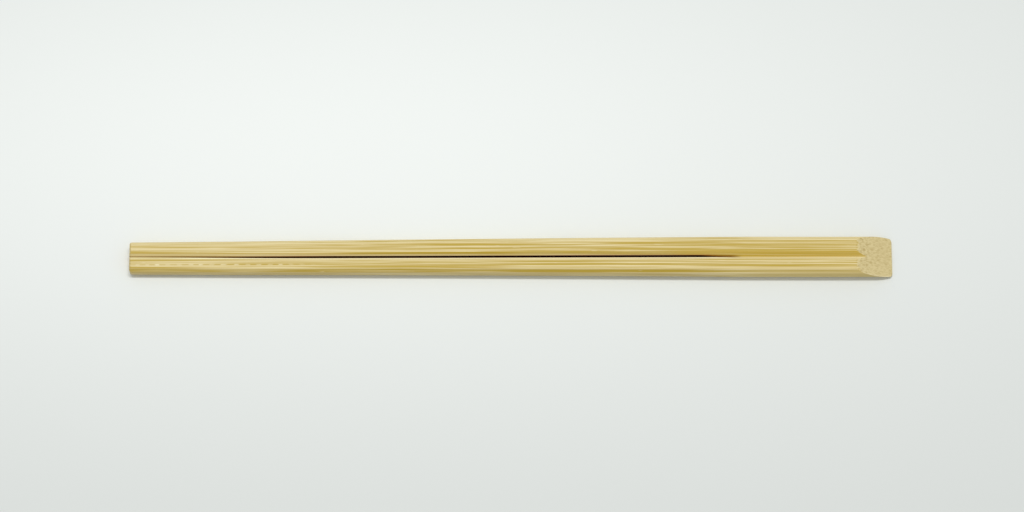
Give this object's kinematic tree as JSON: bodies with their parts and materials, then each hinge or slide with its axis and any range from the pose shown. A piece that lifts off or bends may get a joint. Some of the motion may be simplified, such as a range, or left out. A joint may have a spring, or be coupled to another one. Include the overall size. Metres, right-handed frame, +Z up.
{
  "type": "disposable chopsticks",
  "caption": "Slim tapered bamboo bar, sawn into two sticks that stay joined at a slant-cut handle end until they are snapped apart to eat with.",
  "frame": {"origin": "under the middle of the bar, on the surface that it lies on", "axes": "+X along the sticks to the slanted handle end, +Y across both sticks, +Z up out of the face that carries the slant"},
  "size_m": [0.21, 0.0112, 0.0048],
  "materials": {
    "bamboo": "satin"
  },
  "bodies": {
    "root": {"chopstick_pair": "bamboo"}
  },
  "joints": []
}
